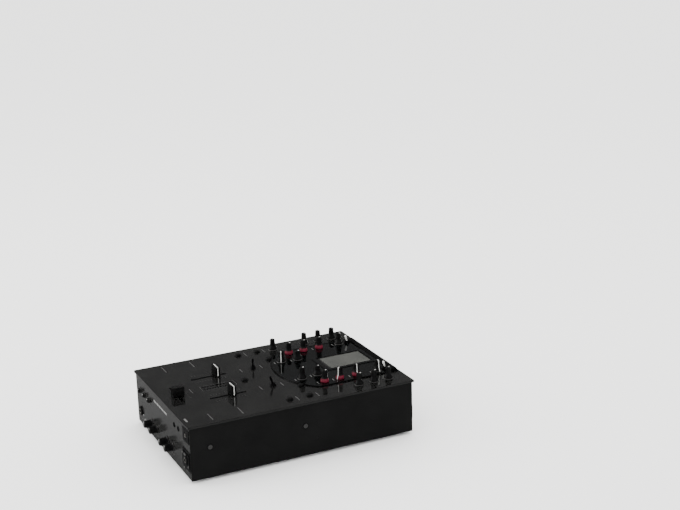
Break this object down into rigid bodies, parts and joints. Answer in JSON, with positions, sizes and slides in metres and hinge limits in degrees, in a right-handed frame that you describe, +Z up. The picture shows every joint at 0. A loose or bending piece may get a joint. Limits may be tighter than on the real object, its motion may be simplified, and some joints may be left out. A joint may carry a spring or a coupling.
{
  "type": "dj controller",
  "caption": "Battle-style scratch mixer with a touch display in a raised console, tall tone knobs, line faders, a crossfader, toggle levers and front-panel controls.",
  "frame": {"origin": "under the middle of the whole object, on the surface its feet stand on", "axes": "+Z up, +X to the right seen from the front, +Y from the front panel to the rear jacks"},
  "size_m": [0.251, 0.382, 0.108],
  "materials": {
    "plate_paint": "satin",
    "case_paint": "satin",
    "front_metal": "brushed",
    "console_plastic": "gloss",
    "display_glass": "gloss",
    "knob_plastic": "matte",
    "eq_knob_red": "satin",
    "fader_plastic": "satin",
    "button_rubber": "matte",
    "lever_metal": "gloss",
    "white_plastic": "gloss",
    "jack_plastic": "satin",
    "jack_metal": "gloss",
    "board_laminate": "satin",
    "transformer_steel": "satin",
    "switch_steel": "satin",
    "foot_rubber": "matte",
    "screw_steel": "satin"
  },
  "bodies": {
    "root": {"top_plate": "plate_paint", "console_plate": "console_plastic", "touch_display": "display_glass", "front_panel": "front_metal", "rear_panel": "case_paint", "left_side_panel": "case_paint", "right_side_panel": "case_paint", "bottom_panel": "case_paint", "control_board": "board_laminate", "main_board": "board_laminate", "power_transformer": "transformer_steel", "potentiometers": "switch_steel", "fader_frames": "switch_steel", "switch_bodies": "switch_steel", "phone_jacks": "jack_plastic", "rca_jacks": "jack_metal", "power_entry": "jack_plastic", "feet": "foot_rubber", "screws": "screw_steel"},
    "booth_level_knob_body": {"booth_level_knob": "knob_plastic"},
    "balance_knob_body": {"balance_knob": "knob_plastic"},
    "master_level_knob_body": {"master_level_knob": "knob_plastic"},
    "session_level_knob_body": {"session_level_knob": "knob_plastic"},
    "microphone_level_knob_body": {"microphone_level_knob": "knob_plastic"},
    "microphone_treble_knob_body": {"microphone_treble_knob": "knob_plastic"},
    "microphone_bass_knob_body": {"microphone_bass_knob": "knob_plastic"},
    "left_trim_knob_body": {"left_trim_knob": "knob_plastic"},
    "left_treble_knob_body": {"left_treble_knob": "eq_knob_red"},
    "left_middle_knob_body": {"left_middle_knob": "eq_knob_red"},
    "left_bass_knob_body": {"left_bass_knob": "eq_knob_red"},
    "left_effect_level_knob_body": {"left_effect_level_knob": "knob_plastic"},
    "left_effect_time_knob_body": {"left_effect_time_knob": "knob_plastic"},
    "right_trim_knob_body": {"right_trim_knob": "knob_plastic"},
    "right_treble_knob_body": {"right_treble_knob": "eq_knob_red"},
    "right_middle_knob_body": {"right_middle_knob": "eq_knob_red"},
    "right_bass_knob_body": {"right_bass_knob": "eq_knob_red"},
    "right_effect_level_knob_body": {"right_effect_level_knob": "knob_plastic"},
    "right_effect_time_knob_body": {"right_effect_time_knob": "knob_plastic"},
    "fader_reverse_knob_body": {"fader_reverse_knob": "knob_plastic"},
    "fader_curve_knob_body": {"fader_curve_knob": "knob_plastic"},
    "crossfader_curve_knob_body": {"crossfader_curve_knob": "knob_plastic"},
    "phones_level_knob_body": {"phones_level_knob": "knob_plastic"},
    "phones_mix_knob_body": {"phones_mix_knob": "knob_plastic"},
    "session_mix_knob_body": {"session_mix_knob": "knob_plastic"},
    "session_gain_knob_body": {"session_gain_knob": "knob_plastic"},
    "left_channel_fader_body": {"left_channel_fader": "fader_plastic"},
    "right_channel_fader_body": {"right_channel_fader": "fader_plastic"},
    "crossfader_body": {"crossfader": "fader_plastic"},
    "left_transform_lever_body": {"left_transform_lever": "lever_metal"},
    "left_input_lever_body": {"left_input_lever": "white_plastic"},
    "right_transform_lever_body": {"right_transform_lever": "lever_metal"},
    "right_input_lever_body": {"right_input_lever": "white_plastic"},
    "left_cue_button_body": {"left_cue_button": "button_rubber"},
    "right_cue_button_body": {"right_cue_button": "button_rubber"},
    "left_assign_button_body": {"left_assign_button": "button_rubber"},
    "right_assign_button_body": {"right_assign_button": "button_rubber"},
    "left_effect_button_body": {"left_effect_button": "button_rubber"},
    "right_effect_button_body": {"right_effect_button": "button_rubber"},
    "meter_mode_button_body": {"meter_mode_button": "button_rubber"},
    "power_rocker_body": {"power_rocker": "jack_plastic"}
  },
  "joints": [
    {"name": "crossfader_slide", "type": "slide", "parent": "root", "child": "crossfader_body", "axis": [1, 0, 0], "range_m": [-0.0295, 0.0155]},
    {"name": "left_channel_fader_slide", "type": "slide", "parent": "root", "child": "left_channel_fader_body", "axis": [0, 1, 0], "range_m": [-0.035, 0.01]},
    {"name": "right_channel_fader_slide", "type": "slide", "parent": "root", "child": "right_channel_fader_body", "axis": [0, 1, 0], "range_m": [-0.029, 0.016]},
    {"name": "left_transform_lever_turn", "type": "hinge", "parent": "root", "child": "left_transform_lever_body", "pos_m": [-0.04, -0.014, 0.0896], "axis": [1, 0, 0], "range_deg": [-18, 18]},
    {"name": "right_transform_lever_turn", "type": "hinge", "parent": "root", "child": "right_transform_lever_body", "pos_m": [0.04, -0.014, 0.0896], "axis": [1, 0, 0], "range_deg": [-36, 0]},
    {"name": "left_input_lever_turn", "type": "hinge", "parent": "root", "child": "left_input_lever_body", "pos_m": [-0.066, 0.162, 0.0911], "axis": [1, 0, 0], "range_deg": [-28, 0]},
    {"name": "right_input_lever_turn", "type": "hinge", "parent": "root", "child": "right_input_lever_body", "pos_m": [0.066, 0.162, 0.0911], "axis": [1, 0, 0], "range_deg": [-28, 0]},
    {"name": "power_rocker_turn", "type": "hinge", "parent": "root", "child": "power_rocker_body", "pos_m": [0.096, 0.1787, 0.065], "axis": [0, 0, 1], "range_deg": [-20, 0]},
    {"name": "left_cue_button_slide", "type": "slide", "parent": "root", "child": "left_cue_button_body", "axis": [0, 0, 1], "range_m": [-0.0008, 0], "stiffness_N_per_m": 300},
    {"name": "right_assign_button_slide", "type": "slide", "parent": "root", "child": "right_assign_button_body", "axis": [0, 0, 1], "range_m": [-0.0008, 0], "stiffness_N_per_m": 300},
    {"name": "meter_mode_button_slide", "type": "slide", "parent": "root", "child": "meter_mode_button_body", "axis": [0, 0, 1], "range_m": [-0.0008, 0], "stiffness_N_per_m": 300},
    {"name": "master_level_knob_turn", "type": "hinge", "parent": "root", "child": "master_level_knob_body", "pos_m": [-0.1, 0.1005, 0.088], "axis": [0, 0, 1], "range_deg": [-130, 170]},
    {"name": "right_bass_knob_turn", "type": "hinge", "parent": "root", "child": "right_bass_knob_body", "pos_m": [0.067, 0.059, 0.0895], "axis": [0, 0, 1], "range_deg": [-140, 160]},
    {"name": "right_middle_knob_turn", "type": "hinge", "parent": "root", "child": "right_middle_knob_body", "pos_m": [0.067, 0.0845, 0.0895], "axis": [0, 0, 1], "range_deg": [0, 300]},
    {"name": "left_effect_level_knob_turn", "type": "hinge", "parent": "root", "child": "left_effect_level_knob_body", "pos_m": [-0.04, 0.034, 0.0895], "axis": [0, 0, 1], "range_deg": [-35, 265]},
    {"name": "session_level_knob_turn", "type": "hinge", "parent": "root", "child": "session_level_knob_body", "pos_m": [-0.1, 0.045, 0.088], "axis": [0, 0, 1], "range_deg": [-150, 150]},
    {"name": "right_treble_knob_turn", "type": "hinge", "parent": "root", "child": "right_treble_knob_body", "pos_m": [0.067, 0.112, 0.0895], "axis": [0, 0, 1], "range_deg": [-55, 245]},
    {"name": "right_trim_knob_turn", "type": "hinge", "parent": "root", "child": "right_trim_knob_body", "pos_m": [0.068, 0.148, 0.0895], "axis": [0, 0, 1], "range_deg": [-65, 235]},
    {"name": "booth_level_knob_turn", "type": "hinge", "parent": "root", "child": "booth_level_knob_body", "pos_m": [-0.1, 0.15, 0.088], "axis": [0, 0, 1], "range_deg": [-150, 150]},
    {"name": "balance_knob_turn", "type": "hinge", "parent": "root", "child": "balance_knob_body", "pos_m": [-0.1, 0.1255, 0.088], "axis": [0, 0, 1], "range_deg": [-150, 150]},
    {"name": "microphone_level_knob_turn", "type": "hinge", "parent": "root", "child": "microphone_level_knob_body", "pos_m": [0.1, 0.15, 0.088], "axis": [0, 0, 1], "range_deg": [-180, 120]},
    {"name": "microphone_treble_knob_turn", "type": "hinge", "parent": "root", "child": "microphone_treble_knob_body", "pos_m": [0.1, 0.1255, 0.088], "axis": [0, 0, 1], "range_deg": [-150, 150]},
    {"name": "microphone_bass_knob_turn", "type": "hinge", "parent": "root", "child": "microphone_bass_knob_body", "pos_m": [0.1, 0.1005, 0.088], "axis": [0, 0, 1], "range_deg": [-150, 150]},
    {"name": "left_trim_knob_turn", "type": "hinge", "parent": "root", "child": "left_trim_knob_body", "pos_m": [-0.068, 0.148, 0.0895], "axis": [0, 0, 1], "range_deg": [-140, 160]},
    {"name": "left_treble_knob_turn", "type": "hinge", "parent": "root", "child": "left_treble_knob_body", "pos_m": [-0.067, 0.112, 0.0895], "axis": [0, 0, 1], "range_deg": [-155, 145]},
    {"name": "left_middle_knob_turn", "type": "hinge", "parent": "root", "child": "left_middle_knob_body", "pos_m": [-0.067, 0.0845, 0.0895], "axis": [0, 0, 1], "range_deg": [-150, 150]},
    {"name": "left_bass_knob_turn", "type": "hinge", "parent": "root", "child": "left_bass_knob_body", "pos_m": [-0.067, 0.059, 0.0895], "axis": [0, 0, 1], "range_deg": [-150, 150]},
    {"name": "left_effect_time_knob_turn", "type": "hinge", "parent": "root", "child": "left_effect_time_knob_body", "pos_m": [-0.037, 0.061, 0.0895], "axis": [0, 0, 1], "range_deg": [-150, 150]},
    {"name": "right_effect_level_knob_turn", "type": "hinge", "parent": "root", "child": "right_effect_level_knob_body", "pos_m": [0.04, 0.034, 0.0895], "axis": [0, 0, 1], "range_deg": [-150, 150]},
    {"name": "right_effect_time_knob_turn", "type": "hinge", "parent": "root", "child": "right_effect_time_knob_body", "pos_m": [0.037, 0.061, 0.0895], "axis": [0, 0, 1], "range_deg": [-170, 130]},
    {"name": "phones_level_knob_turn", "type": "hinge", "parent": "root", "child": "phones_level_knob_body", "pos_m": [0.044, -0.1775, 0.0265], "axis": [0, -1, 0], "range_deg": [-150, 150]},
    {"name": "phones_mix_knob_turn", "type": "hinge", "parent": "root", "child": "phones_mix_knob_body", "pos_m": [0.02, -0.1775, 0.0265], "axis": [0, -1, 0], "range_deg": [-150, 150]},
    {"name": "session_mix_knob_turn", "type": "hinge", "parent": "root", "child": "session_mix_knob_body", "pos_m": [-0.027, -0.1775, 0.0265], "axis": [0, -1, 0], "range_deg": [-150, 150]},
    {"name": "session_gain_knob_turn", "type": "hinge", "parent": "root", "child": "session_gain_knob_body", "pos_m": [-0.053, -0.1775, 0.0265], "axis": [0, -1, 0], "range_deg": [-150, 150]},
    {"name": "fader_reverse_knob_turn", "type": "hinge", "parent": "root", "child": "fader_reverse_knob_body", "pos_m": [-0.102, -0.1775, 0.0625], "axis": [0, -1, 0], "range_deg": [-60, 60]},
    {"name": "fader_curve_knob_turn", "type": "hinge", "parent": "root", "child": "fader_curve_knob_body", "pos_m": [-0.0795, -0.1775, 0.0625], "axis": [0, -1, 0], "range_deg": [-60, 60]},
    {"name": "crossfader_curve_knob_turn", "type": "hinge", "parent": "root", "child": "crossfader_curve_knob_body", "pos_m": [-0.057, -0.1775, 0.0625], "axis": [0, -1, 0], "range_deg": [-60, 60]},
    {"name": "right_cue_button_slide", "type": "slide", "parent": "root", "child": "right_cue_button_body", "axis": [0, 0, 1], "range_m": [-0.0008, 0], "stiffness_N_per_m": 300},
    {"name": "left_assign_button_slide", "type": "slide", "parent": "root", "child": "left_assign_button_body", "axis": [0, 0, 1], "range_m": [-0.0008, 0], "stiffness_N_per_m": 300},
    {"name": "left_effect_button_slide", "type": "slide", "parent": "root", "child": "left_effect_button_body", "axis": [0, 0, 1], "range_m": [-0.0008, 0], "stiffness_N_per_m": 300},
    {"name": "right_effect_button_slide", "type": "slide", "parent": "root", "child": "right_effect_button_body", "axis": [0, 0, 1], "range_m": [-0.0008, 0], "stiffness_N_per_m": 300}
  ]
}
